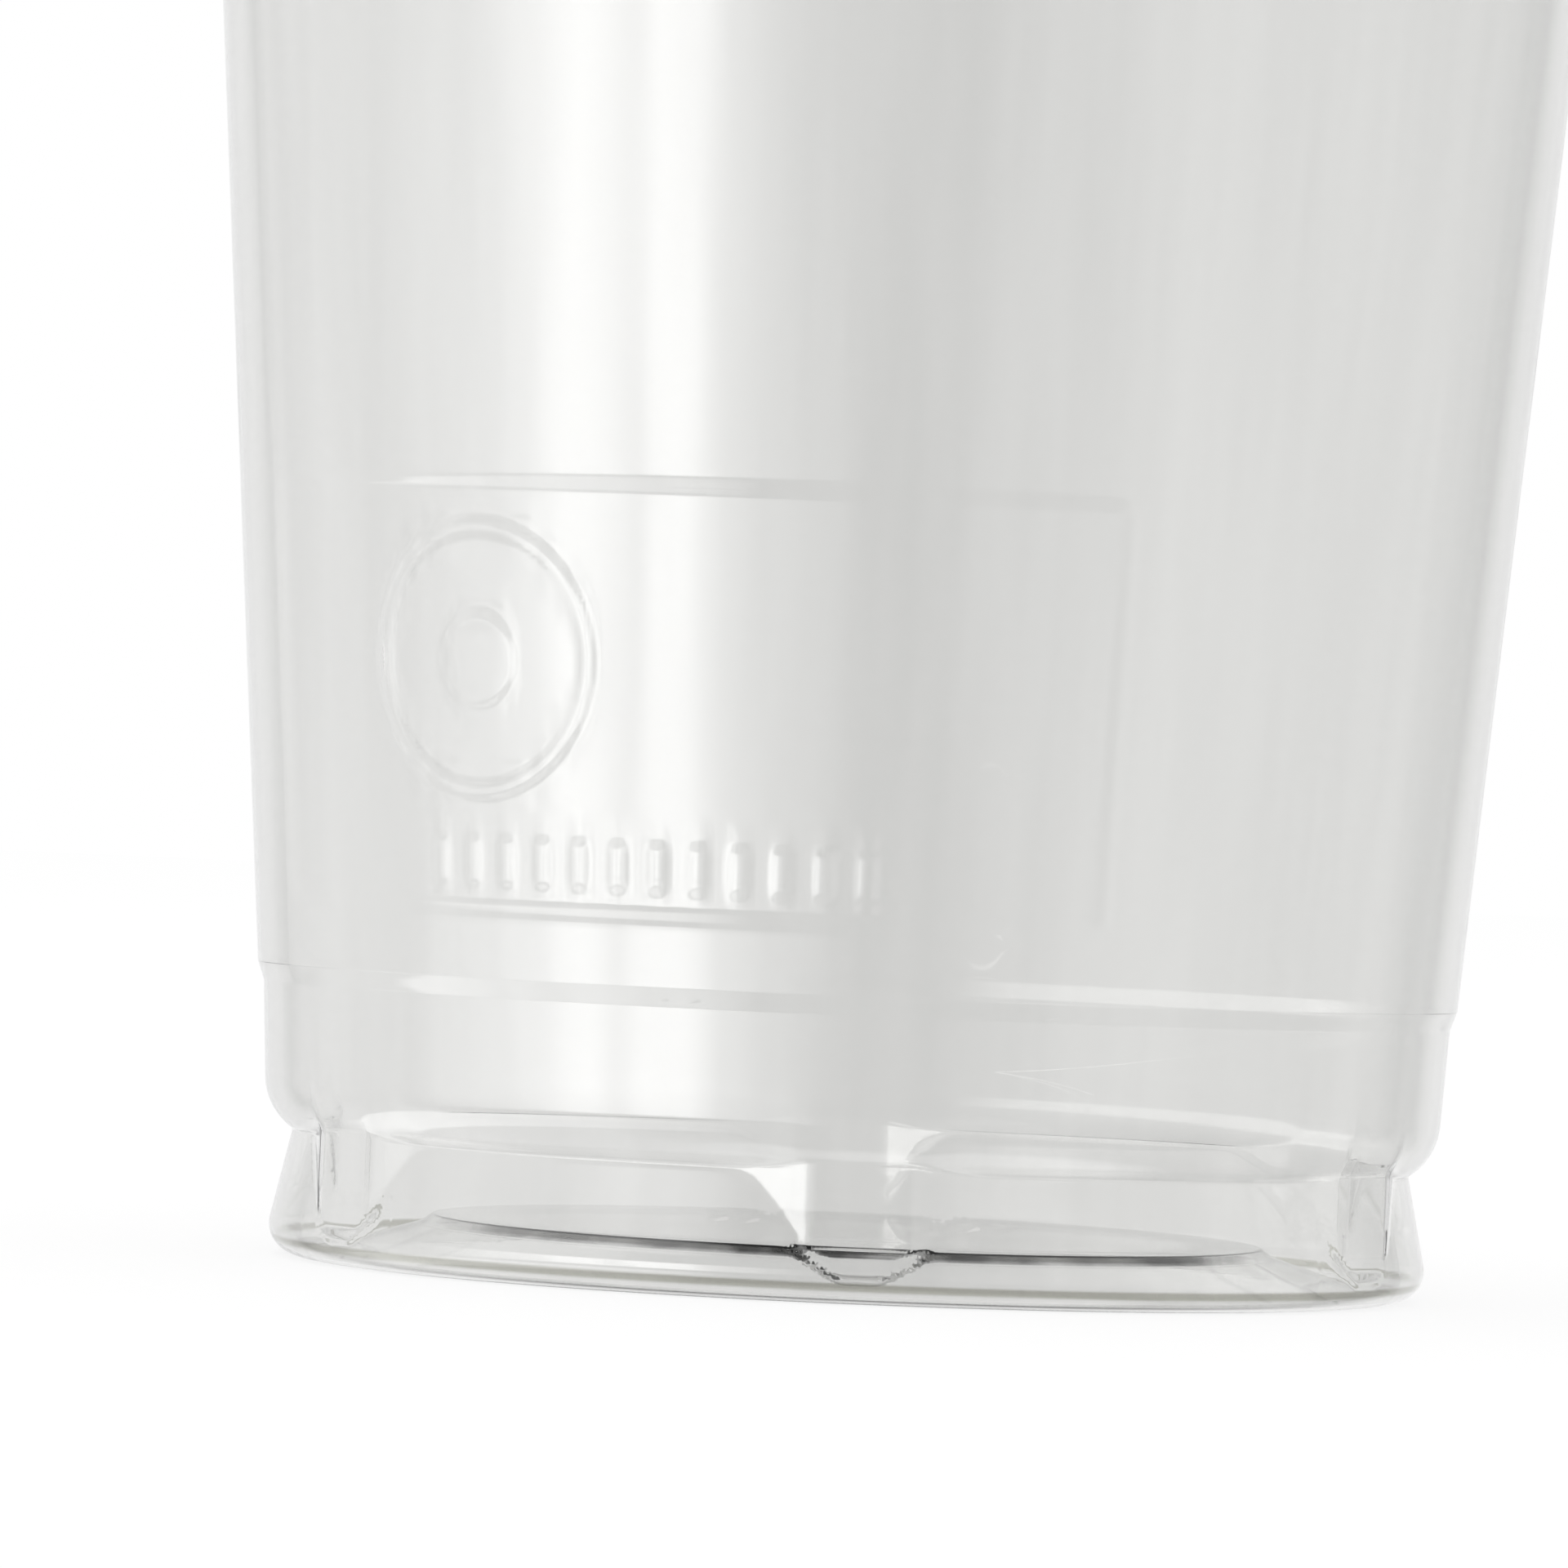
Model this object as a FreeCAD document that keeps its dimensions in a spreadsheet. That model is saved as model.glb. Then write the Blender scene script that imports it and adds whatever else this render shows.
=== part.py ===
import FreeCAD, Part
import math
import os

import Sketcher

# Clear plastic tumbler, thermoformed in one piece.
# The origin is the middle of the ring that it stands on, +Z points up its axis, and the
# middle of one stacking lug faces -Y. All lengths are in millimetres and all angles in degrees.
# The cup is the outer form less an inner form, which lies one wall thickness inside it.

# Driving dimensions
SIZES = {
    "wall": 0.35,  # thickness of the sheet after forming
    "total_height": 118.0,  # ground to the top of the rolled rim
    "panel_radius": 20.4,  # flat middle of the bottom
    "panel_lift": 2.05,  # underside of that flat above the ground
    "bead_width": 0.6,  # width of the step around the flat
    "bead_depth": 0.45,  # drop of that step
    "stand_radius": 26.1,  # inner edge of the standing ring
    "heel_round": 1.0,  # round at that inner edge
    "foot_corner_radius": 28.84,  # where the foot's flare would meet the ground
    "foot_round": 1.5,  # roll between the standing ring and the flare
    "neck_radius": 27.52,  # crease between foot and shoulder
    "neck_height": 6.13,
    "shoulder_radius": 28.9,  # where shoulder and lower wall would meet
    "shoulder_height": 7.22,
    "shoulder_round": 3.2,
    "step_low_radius": 29.25,  # lower edge of the small step in the wall
    "step_low_height": 13.4,
    "step_high_radius": 29.57,  # upper edge of that step
    "step_high_height": 14.3,
    "mouth_radius": 37.8,  # outside of the wall where the rim's curl starts
    "curl_hollow": 0.6,  # inside radius of the rolled rim
    "curl_sweep": 275.0,  # how far the rim is rolled round
    "lug_count": 6,  # stacking lugs around the neck
    "lug_face_radius": 28.15,  # distance of a lug's flat face from the axis
    "lug_face_width": 4.9,
    "lug_flank_angle": 22.0,  # between a lug's face and its two flanks
    "lug_root_radius": 25.5,  # how far in the flanks run, hidden inside the form
    "lug_low_height": 2.0,
    "lug_high_height": 8.0,
    "notch_low_height": 1.26,  # flat under each lug, let into the foot's roll
    "notch_high_height": 3.3,
    "notch_low_width": 3.2,
    "notch_high_width": 7.0,
    "notch_run": 2.0,  # how far out the notch is cut
    "recess_depth": 0.25,  # shallow panel in the wall
    "recess_low_height": 17.2,
    "recess_high_height": 37.9,
    "recess_bevel": 0.8,  # height of its sloping upper and lower borders
    "recess_turn": -21.5,  # middle of the panel, round from -Y
    "recess_span": 84.0,  # angle that the panel covers
    "recess_run": 0.5,  # how far outside the wall the cut reaches
    "ring_turn": -40.3,  # middle of the raised ring in the panel
    "ring_height": 29.5,
    "ring_radius": 6.5,  # outside of the ring
    "ring_width": 0.7,
    "dot_radius": 2.2,  # raised disc inside the ring
    "bar_turn": -42.8,  # first of the row of raised bars
    "bar_span": 42.0,  # angle from the first bar to the last
    "bar_count": 12,
    "bar_width": 0.8,
    "bar_low_height": 18.7,
    "bar_high_height": 20.9,
    "mark_rise": 0.2,  # how far the marks stand out of the panel
    "mark_root": 0.1,  # how far they reach into its wall
}

# Dimensions that follow from the driving ones
DERIVED = {
    "panel_edge_radius": "=panel_radius + bead_width",
    "panel_edge_height": "=panel_lift - bead_depth",
    "wall_slope": "=(mouth_radius - step_high_radius)"
    " / (total_height - wall - curl_hollow - step_high_height)",
    "mouth_wall": "=wall * sqrt(1 + wall_slope ^ 2)",
    "curl_radius": "=curl_hollow + mouth_wall",
    "mouth_height": "=total_height - curl_radius",
    "curl_centre": "=mouth_radius + curl_hollow",
    "open_height": "=total_height + wall",
    "open_radius": "=mouth_radius + wall_slope * (open_height - mouth_height)",
    "recess_bottom": "=recess_low_height + recess_bevel",
    "recess_top": "=recess_high_height - recess_bevel",
    "recess_low_radius": "=step_high_radius + wall_slope * (recess_low_height - step_high_height)",
    "recess_high_radius": "=step_high_radius + wall_slope * (recess_high_height - step_high_height)",
    "recess_bottom_radius": "=recess_low_radius + wall_slope * recess_bevel - recess_depth",
    "recess_top_radius": "=recess_high_radius - wall_slope * recess_bevel - recess_depth",
    "recess_reach": "=recess_run / recess_depth",
    "recess_low_start": "=recess_low_height - recess_bevel * recess_reach",
    "recess_high_start": "=recess_high_height + recess_bevel * recess_reach",
    "recess_low_reach": "=recess_low_radius + (recess_low_radius - recess_bottom_radius) * recess_reach",
    "recess_high_reach": "=recess_high_radius + (recess_high_radius - recess_top_radius) * recess_reach",
    "recess_inner_span": "=recess_span + 2 * wall / recess_low_radius * 180 / pi",
    "mark_low_root": "=recess_bottom_radius - mark_root",
    "mark_low_top": "=recess_bottom_radius + mark_rise",
    "mark_high_root": "=recess_top_radius - mark_root",
    "mark_high_top": "=recess_top_radius + mark_rise",
    "lug_half": "=lug_face_width / 2",
    "lug_root_half": "=lug_half + (lug_face_radius - lug_root_radius) / tan(lug_flank_angle * 1deg)",
    "lug_rise": "=lug_high_height - lug_low_height",
    "notch_low_half": "=notch_low_width / 2",
    "notch_high_half": "=notch_high_width / 2",
    "inner_lug_face": "=lug_face_radius - wall",
    "ring_inner_radius": "=ring_radius - ring_width",
    "bar_half": "=bar_width / 2",
}

LEAST_CHANGE = 1e-6  # volume in cubic millimetres that a cut or an addition has to exceed


def make_sheet(doc):
    """The spreadsheet of named sizes: driving ones as plain numbers, then those worked out from them."""
    sheet = doc.addObject("Spreadsheet::Sheet", "sizes")
    cells = list(SIZES.items()) + list(DERIVED.items())
    for row, (name, content) in enumerate(cells, start=1):
        sheet.set(f"A{row}", name)
        sheet.set(f"B{row}", str(content))
        sheet.setAlias(f"B{row}", name)
    doc.recompute()
    return sheet


def size(sheet, name):
    """The number in a named cell, or 0 for None, which stands for a point on an axis."""
    return 0.0 if name is None else float(sheet.get(name))


def origin_feature(body, role):
    """One of a body's own origin planes or axes."""
    return next(f for f in body.Origin.OriginFeatures if f.Role == role)


def new_sketch(body, name, role):
    """A sketch that lies flat on one of its body's origin planes."""
    sketch = body.newObject("Sketcher::SketchObject", name)
    sketch.AttachmentSupport = [(origin_feature(body, role), "")]
    sketch.MapMode = "FlatFace"
    return sketch


def hold(sketch, kind, *terms, by=None, start=None):
    """Adds one constraint. A size that it has starts at a number and is bound to a named cell."""
    values = () if start is None else (start,)
    index = sketch.addConstraint(Sketcher.Constraint(kind, *terms, *values))
    if by is not None:
        sketch.setExpression(f"Constraints[{index}]", f"sizes.{by}")


def place_point(sketch, sheet, geometry, end, across, up, side=1):
    """Fixes a point by two named cells, its place across the sketch and up it. None puts it on the axis,
    and a side of -1 puts it left of the origin."""
    if across is None:
        hold(sketch, "PointOnObject", geometry, end, -2)
    elif side == 1:
        hold(sketch, "DistanceX", -1, 1, geometry, end, by=across, start=size(sheet, across))
    else:
        hold(sketch, "DistanceX", geometry, end, -1, 1, by=across, start=size(sheet, across))
    if up is None:
        hold(sketch, "PointOnObject", geometry, end, -1)
    else:
        hold(sketch, "DistanceY", -1, 1, geometry, end, by=up, start=size(sheet, up))


def shifted_corners(points, shift):
    """The corners of a polygon whose sides are all moved by shift, to the left of their direction."""
    moved = []
    for index, corner in enumerate(points):
        before = (corner - points[index - 1]).normalize()
        after = (points[(index + 1) % len(points)] - corner).normalize()
        normal_before = FreeCAD.Vector(-before.y, before.x, 0)
        normal_after = FreeCAD.Vector(-after.y, after.x, 0)
        along = (normal_before + normal_after) * (1 / (1 + normal_before.dot(normal_after)))
        moved.append(corner + along * shift)
    return moved


def draw_polygon(sketch, sheet, corners, shift=0, fixed_sides=()):
    """Draws a closed outline, anticlockwise, on a sketch.

    Each corner is (across, up, round, side): two named cells for its place, a named radius or None, and
    -1 where it is left of the axis. With a shift of 1 or -1 the outline lies one wall inside or outside the
    corners: they become construction lines, and each side is parallel to its own at the wall's distance,
    apart from the fixed sides, which stay on theirs.
    """
    wall = size(sheet, "wall")
    count = len(corners)
    outer = [FreeCAD.Vector(side * size(sheet, a), size(sheet, u), 0) for a, u, r, side in corners]
    guides = []
    if shift:
        for index in range(count):
            line = Part.LineSegment(outer[index], outer[(index + 1) % count])
            guides.append(sketch.addGeometry(line, True))
        for index, (across, up, _, side) in enumerate(corners):
            hold(sketch, "Coincident", guides[index - 1], 2, guides[index], 1)
            place_point(sketch, sheet, guides[index], 1, across, up, side)
    points = shifted_corners(outer, shift * wall) if shift else outer
    for index in fixed_sides if shift else ():
        # A fixed side lies along the axis or the open top, so its two corners move back onto it.
        first, last = index, (index + 1) % count
        direction = (outer[last] - outer[first]).normalize()
        for corner in (first, last):
            off = (points[corner] - outer[first]) - direction * (points[corner] - outer[first]).dot(direction)
            points[corner] = points[corner] - off
    rounds = []
    for index, (_, _, radius, _) in enumerate(corners):
        rounds.append(None if radius is None else size(sheet, radius) - shift * wall)
    starts, ends, arcs = list(points), [points[(k + 1) % count] for k in range(count)], {}
    for index, radius in enumerate(rounds):
        if radius is None:
            continue
        before = (points[index] - points[index - 1]).normalize()
        after = (points[(index + 1) % count] - points[index]).normalize()
        reach = radius * math.tan(before.getAngle(after) / 2)
        ends[index - 1] = points[index] - before * reach
        starts[index] = points[index] + after * reach
        centre = ends[index - 1] + FreeCAD.Vector(-before.y, before.x, 0) * radius
        first = math.atan2(before.y, before.x) - math.pi / 2
        circle = Part.Circle(centre, FreeCAD.Vector(0, 0, 1), radius)
        arcs[index] = Part.ArcOfCircle(circle, first, first + before.getAngle(after))
    sides = [sketch.addGeometry(Part.LineSegment(a, b)) for a, b in zip(starts, ends)]
    for index, (across, up, radius, side) in enumerate(corners):
        if radius is None:
            hold(sketch, "Coincident", sides[index - 1], 2, sides[index], 1)
            if not shift:
                place_point(sketch, sheet, sides[index], 1, across, up, side)
            continue
        arc = sketch.addGeometry(arcs[index])
        hold(sketch, "Tangent", sides[index - 1], 2, arc, 1)
        hold(sketch, "Tangent", arc, 2, sides[index], 1)
        if shift:
            bound = f"{radius} - {shift} * sizes.wall"
            hold(sketch, "Radius", arc, by=bound, start=rounds[index])
        else:
            hold(sketch, "Radius", arc, by=radius, start=rounds[index])
            corner = sketch.addGeometry(Part.Point(points[index]), True)
            place_point(sketch, sheet, corner, 1, across, up, side)
            hold(sketch, "PointOnObject", corner, 1, sides[index - 1])
            hold(sketch, "PointOnObject", corner, 1, sides[index])
    if shift:
        for index, line in enumerate(sides):
            hold(sketch, "Parallel", line, guides[index])
            if index in fixed_sides:
                hold(sketch, "PointOnObject", line, 1, guides[index])
            else:
                hold(sketch, "Distance", line, 1, guides[index], by="wall", start=wall)


def revolve(body, name, kind, sketch, span=None):
    """Turns a sketch about its own upright axis, all the way round or by a named angle to both sides."""
    feature = body.newObject(kind, name)
    feature.Profile = sketch
    feature.ReferenceAxis = (sketch, ["V_Axis"])
    feature.Angle = 360
    if span is not None:
        feature.Midplane = True
        feature.setExpression("Angle", f"sizes.{span} * 1deg")
    return feature


def repeat_round(body, name, features, count, span=None):
    """Copies features evenly about the body's axis, all the way round or over a named angle."""
    pattern = body.newObject("PartDesign::PolarPattern", name)
    pattern.Originals = features
    pattern.Axis = (origin_feature(body, "Z_Axis"), [""])
    pattern.Angle = 360
    pattern.setExpression("Occurrences", f"sizes.{count}")
    if span is not None:
        pattern.setExpression("Angle", f"sizes.{span} * 1deg")
    body.Tip = pattern
    return pattern


def turn_sketch(sketch, turn, quarter=0):
    """Turns an upright sketch about the cup's axis by a named angle, from facing -Y. A section, whose right
    half is revolved, takes a quarter turn back as well, so that this half lies at the named angle."""
    about_axis = FreeCAD.Rotation(FreeCAD.Vector(0, 1, 0), 1)
    sketch.AttachmentOffset = FreeCAD.Placement(FreeCAD.Vector(), about_axis)
    sketch.setExpression("AttachmentOffset.Rotation.Angle", f"sizes.{turn} * 1deg - {quarter * 90}deg")


def add_form(doc, sheet, name, shift):
    """A solid form of the cup: its outside up to the rim, or with a shift of 1 its inside, which is one wall
    further in and runs on out of the mouth."""
    body = doc.addObject("PartDesign::Body", name)

    # Turned outline, from the middle of the bottom out to the foot and up to the mouth
    section = new_sketch(body, name + "_section", "XZ_Plane")
    top = ("open_radius", "open_height") if shift else ("mouth_radius", "mouth_height")
    corners = [
        (None, "panel_lift", None, 1),
        ("panel_radius", "panel_lift", None, 1),
        ("panel_edge_radius", "panel_edge_height", None, 1),
        ("stand_radius", None, "heel_round", 1),
        ("foot_corner_radius", None, "foot_round", 1),
        ("neck_radius", "neck_height", None, 1),
        ("shoulder_radius", "shoulder_height", "shoulder_round", 1),
        ("step_low_radius", "step_low_height", None, 1),
        ("step_high_radius", "step_high_height", None, 1),
        (top[0], top[1], None, 1),
        (None, top[1], None, 1),
    ]
    top_side = len(corners) - 2
    axis_side = len(corners) - 1
    draw_polygon(section, sheet, corners, shift, (top_side, axis_side))
    revolve(body, name + "_turned", "PartDesign::Revolution", section)

    # Stacking lugs, which fill the neck's groove in six places
    plan = new_sketch(body, name + "_lug_plan", "XY_Plane")
    plan.AttachmentOffset = FreeCAD.Placement(
        FreeCAD.Vector(0, 0, size(sheet, "lug_low_height")), FreeCAD.Rotation(FreeCAD.Vector(0, 0, 1), 180)
    )
    plan.setExpression("AttachmentOffset.Base.z", "sizes.lug_low_height")
    lug_corners = [
        ("lug_root_half", "lug_root_radius", None, 1),
        ("lug_half", "lug_face_radius", None, 1),
        ("lug_half", "lug_face_radius", None, -1),
        ("lug_root_half", "lug_root_radius", None, -1),
    ]
    draw_polygon(plan, sheet, lug_corners, shift)
    lug = body.newObject("PartDesign::Pad", name + "_lug")
    lug.Profile = plan
    lug.setExpression("Length", "sizes.lug_rise")

    # Flat notch under each lug, let into the foot's roll
    front = new_sketch(body, name + "_notch_front", "XZ_Plane")
    face = "lug_face_radius" if not shift else "inner_lug_face"
    front.AttachmentOffset = FreeCAD.Placement(FreeCAD.Vector(0, 0, size(sheet, face)), FreeCAD.Rotation())
    front.setExpression("AttachmentOffset.Base.z", f"sizes.{face}")
    notch_corners = [
        ("notch_low_half", "notch_low_height", None, -1),
        ("notch_low_half", "notch_low_height", None, 1),
        ("notch_high_half", "notch_high_height", None, 1),
        ("notch_high_half", "notch_high_height", None, -1),
    ]
    draw_polygon(front, sheet, notch_corners, -shift)
    notch = body.newObject("PartDesign::Pocket", name + "_notch")
    notch.Profile = front
    notch.Reversed = True
    notch.setExpression("Length", "sizes.notch_run")
    repeat_round(body, name + "_lugs", [lug, notch], "lug_count")
    return body


def combine(body, name, kind, tool):
    """Cuts another body's solid off this one, fuses it on or keeps what both share."""
    result = body.newObject("PartDesign::Boolean", name)
    result.Type = kind
    result.setObjects([tool])
    body.Tip = result
    return result


def add_recess(doc, body, sheet, name, shift, span):
    """The wall's shallow panel with its sloping borders, cut round a form by a named angle."""
    doc.recompute()
    before = body.Shape.Volume
    section = new_sketch(body, name + "_section", "XZ_Plane")
    turn_sketch(section, "recess_turn", 1)
    corners = [
        ("recess_low_reach", "recess_low_start", None, 1),
        ("recess_high_reach", "recess_high_start", None, 1),
        ("recess_top_radius", "recess_top", None, 1),
        ("recess_bottom_radius", "recess_bottom", None, 1),
    ]
    draw_polygon(section, sheet, corners, shift)
    revolve(body, name, "PartDesign::Groove", section, span)
    doc.recompute()
    check_change(name, body.Shape.Volume - before, -1)


def raise_mark(body, name, sketch):
    """Carries a sketch outwards from the axis, past the wall."""
    mark = body.newObject("PartDesign::Pad", name)
    mark.Profile = sketch
    mark.setExpression("Length", "sizes.recess_high_reach")
    return mark


def add_mark_outlines(doc, sheet):
    """The outlines of the panel's marks as solids: a ring with a disc in it, and a row of bars."""
    body = doc.addObject("PartDesign::Body", "mark_outlines")
    ring = new_sketch(body, "ring_front", "XZ_Plane")
    turn_sketch(ring, "ring_turn")
    height = size(sheet, "ring_height")
    for radius in ("ring_radius", "ring_inner_radius", "dot_radius"):
        circle = Part.Circle(FreeCAD.Vector(0, height, 0), FreeCAD.Vector(0, 0, 1), size(sheet, radius))
        drawn = ring.addGeometry(circle)
        hold(ring, "Radius", drawn, by=radius, start=size(sheet, radius))
        place_point(ring, sheet, drawn, 3, None, "ring_height")
    raise_mark(body, "ring_mark", ring)

    bar = new_sketch(body, "bar_front", "XZ_Plane")
    turn_sketch(bar, "bar_turn")
    bar_corners = [
        ("bar_half", "bar_low_height", None, -1),
        ("bar_half", "bar_low_height", None, 1),
        ("bar_half", "bar_high_height", None, 1),
        ("bar_half", "bar_high_height", None, -1),
    ]
    draw_polygon(bar, sheet, bar_corners)
    first_bar = raise_mark(body, "bar_mark", bar)
    repeat_round(body, "bar_row", [first_bar], "bar_count", "bar_span")
    return body


def add_marks(doc, sheet):
    """The raised marks: a thin layer on the panel, kept only inside the marks' outlines."""
    body = doc.addObject("PartDesign::Body", "marks")
    section = new_sketch(body, "mark_section", "XZ_Plane")
    turn_sketch(section, "recess_turn", 1)
    corners = [
        ("mark_low_root", "recess_bottom", None, 1),
        ("mark_low_top", "recess_bottom", None, 1),
        ("mark_high_top", "recess_top", None, 1),
        ("mark_high_root", "recess_top", None, 1),
    ]
    draw_polygon(section, sheet, corners)
    revolve(body, "mark_layer", "PartDesign::Revolution", section, "recess_span")
    combine(body, "mark_faces", "Common", add_mark_outlines(doc, sheet))
    return body


def add_curl(body, sheet):
    """The rolled rim: a ring whose section is an open circle of the wall's thickness, rolled outwards."""
    section = new_sketch(body, "curl_section", "XZ_Plane")
    centre = FreeCAD.Vector(size(sheet, "curl_centre"), size(sheet, "mouth_height"), 0)
    end = math.pi - math.radians(size(sheet, "curl_sweep"))
    arcs = []
    for radius in ("curl_radius", "curl_hollow"):
        circle = Part.Circle(centre, FreeCAD.Vector(0, 0, 1), size(sheet, radius))
        arc = section.addGeometry(Part.ArcOfCircle(circle, end, math.pi))
        hold(section, "Radius", arc, by=radius, start=size(sheet, radius))
        place_point(section, sheet, arc, 3, "curl_centre", "mouth_height")
        hold(section, "Horizontal", arc, 2, arc, 3)
        arcs.append(arc)
    outer, inner = arcs
    points = [section.getPoint(arc, place) for place in (2, 1) for arc in arcs]
    start_line = section.addGeometry(Part.LineSegment(points[0], points[1]))
    end_line = section.addGeometry(Part.LineSegment(points[2], points[3]))
    spoke = section.addGeometry(Part.LineSegment(centre, points[2]), True)
    level = section.addGeometry(Part.LineSegment(centre, points[0]), True)
    hold(section, "Coincident", start_line, 1, outer, 2)
    hold(section, "Coincident", start_line, 2, inner, 2)
    hold(section, "Coincident", end_line, 1, outer, 1)
    hold(section, "Coincident", end_line, 2, inner, 1)
    hold(section, "Coincident", spoke, 1, outer, 3)
    hold(section, "Coincident", spoke, 2, outer, 1)
    hold(section, "Coincident", level, 1, outer, 3)
    hold(section, "Coincident", level, 2, outer, 2)
    hold(section, "PointOnObject", inner, 1, spoke)
    open_angle = 2 * math.pi - math.radians(size(sheet, "curl_sweep"))
    index = section.addConstraint(Sketcher.Constraint("Angle", level, 1, spoke, 1, open_angle))
    section.setExpression(f"Constraints[{index}]", "360deg - sizes.curl_sweep * 1deg")
    return revolve(body, "curl", "PartDesign::Revolution", section)


def check(doc, body):
    """Stops unless every object worked out and the finished shape is one valid solid."""
    for item in doc.Objects:
        if "Invalid" in item.State or "Error" in item.State:
            raise RuntimeError(f"{item.Name} failed: {item.State}")
    shape = body.Shape
    if shape.isNull() or not shape.isValid() or len(shape.Solids) != 1:
        solids = 0 if shape.isNull() else len(shape.Solids)
        raise RuntimeError(f"{body.Label} isn't one valid solid: {solids} solids")


def check_change(name, change, sign):
    """Stops where a cut took nothing away, or an addition added nothing."""
    if change * sign <= LEAST_CHANGE:
        raise RuntimeError(f"{name} changed nothing")


def main():
    doc = FreeCAD.newDocument("tumbler")
    sheet = make_sheet(doc)

    cup = add_form(doc, sheet, "cup", 0)
    add_recess(doc, cup, sheet, "panel", 0, "recess_span")
    inside = add_form(doc, sheet, "inside", 1)
    add_recess(doc, inside, sheet, "inner_panel", -1, "recess_inner_span")

    plain_volume = cup.Shape.Volume
    combine(cup, "marked", "Fuse", add_marks(doc, sheet))
    doc.recompute()
    marked_volume = cup.Shape.Volume
    check_change("marked", marked_volume - plain_volume, 1)
    combine(cup, "hollow", "Cut", inside)
    doc.recompute()
    check_change("hollow", cup.Shape.Volume - marked_volume, -1)
    add_curl(cup, sheet)
    doc.recompute()
    check(doc, cup)

    os.makedirs("parts", exist_ok=True)
    cup.Shape.exportStep("parts/cup.step")
    print("cup volume", cup.Shape.Volume)


main()
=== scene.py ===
import math

import bpy
import numpy as np
from mathutils import Matrix, Vector


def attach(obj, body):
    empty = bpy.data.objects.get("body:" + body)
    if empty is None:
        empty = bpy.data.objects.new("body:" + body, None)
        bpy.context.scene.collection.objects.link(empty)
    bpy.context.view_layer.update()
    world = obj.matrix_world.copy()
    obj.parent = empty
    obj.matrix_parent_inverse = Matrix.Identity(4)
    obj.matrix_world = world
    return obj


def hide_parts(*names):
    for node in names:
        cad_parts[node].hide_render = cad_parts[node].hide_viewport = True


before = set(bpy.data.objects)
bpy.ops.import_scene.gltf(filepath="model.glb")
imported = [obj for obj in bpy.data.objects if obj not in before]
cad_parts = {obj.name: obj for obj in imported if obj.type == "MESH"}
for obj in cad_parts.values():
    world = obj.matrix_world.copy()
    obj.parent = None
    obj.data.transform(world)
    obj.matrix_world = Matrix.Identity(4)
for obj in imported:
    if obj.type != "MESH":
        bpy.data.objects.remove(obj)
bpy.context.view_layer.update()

MM = 0.001

# Cup, in millimetres. Heights are above the ground and angles are degrees round from -Y towards +X.
WALL = 0.2  # thickness of the formed sheet
HEIGHT = 118.0
PANEL_RADIUS, PANEL_LIFT = 20.4, 2.05  # flat middle of the bottom
BEAD_WIDTH, BEAD_DEPTH = 0.6, 0.45  # step around it
STAND_RADIUS = 26.1  # inner edge of the standing ring
FOOT_CORNER = 28.84  # where the foot's flare would meet the ground
NECK_RADIUS, NECK_HEIGHT = 27.52, 6.13
SHOULDER_RADIUS, SHOULDER_HEIGHT = 28.9, 7.22
STEP_LOW = (29.25, 13.4)  # radius and height at both ends of the wall's step
STEP_HIGH = (29.57, 14.3)
MOUTH_RADIUS = 37.8
CURL_HOLLOW, CURL_SWEEP = 0.6, 275.0

# Rounds at the corners of the outline
BEAD_ROUND = 0.18
HEEL_ROUND = 1.0
FOOT_ROUND = 1.5
NECK_ROUND = 0.12
SHOULDER_ROUND = 3.2
STEP_ROUND = 0.12

# Stacking lugs in the neck, each with a flat notch let into the foot's roll below it
LUG_COUNT = 6
LUG_FACE = 28.25
LUG_WIDTH = 4.9
LUG_FLANK = math.radians(22.0)
LUG_START = (1.6, 2.1)  # heights between which a lug begins
LUG_TOP = (5.8, 7.6)  # heights between which its border grows softer
FORMED_LOW, FORMED_HIGH = 0.9, 9.0  # heights between which the foot isn't plainly round
NOTCH_LOW, NOTCH_HIGH = 1.42, 3.3
NOTCH_LOW_WIDTH, NOTCH_HIGH_WIDTH = 2.4, 8.6
NOTCH_DEPTH = 0.15  # how far a notch's flat lies behind its lug's face
NOTCH_FADE = (2.45, 2.85)  # heights between which it meets that face
NOTCH_SIDE_TURN = (20.0, 40.0)  # angles between which the notches grow shallower
NOTCH_SIDE_LOSS = 0.6  # and by how much
FACE_SOFT = 0.06  # how far the edges of a lug's face are rounded
LUG_SOFT = 0.1  # how far its flanks run into the neck
LUG_TOP_SOFT = 1.0  # and how far its top runs into the shoulder
NOTCH_SOFT = 0.3  # how far the notch's sides are rounded
NOTCH_EDGE_SOFT = 0.16  # and its meeting with the roll
NOTCH_LOW_SOFT = 0.5  # and its lower edge

# Shallow panel in the wall, with raised marks
RECESS_DEPTH = 0.25
RECESS_LOW, RECESS_HIGH = 17.2, 37.9
RECESS_BEVEL, BEVEL_SOFT = 0.8, 0.1
RECESS_LEFT, RECESS_RIGHT = 6.0, 1.3  # widths of its soft side borders
RECESS_TURN, RECESS_SPAN = -21.5, 84.0
MARK_RISE = 0.13
MARK_BLEND = 0.5  # width of the marks' sloping sides
RING_TURN, RING_HEIGHT = -38.3, 29.2
RING_WALL = STEP_HIGH[0] + 1.0  # radius of the wall where the ring is
RING_RADIUS, RING_WIDTH, DOT_RADIUS = 6.5, 0.7, 2.2
BAR_TURN, BAR_SPAN, BAR_COUNT = -42.8, 42.0, 12
BAR_WIDTH, BAR_LOW, BAR_HIGH = 0.8, 18.7, 20.9

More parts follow.
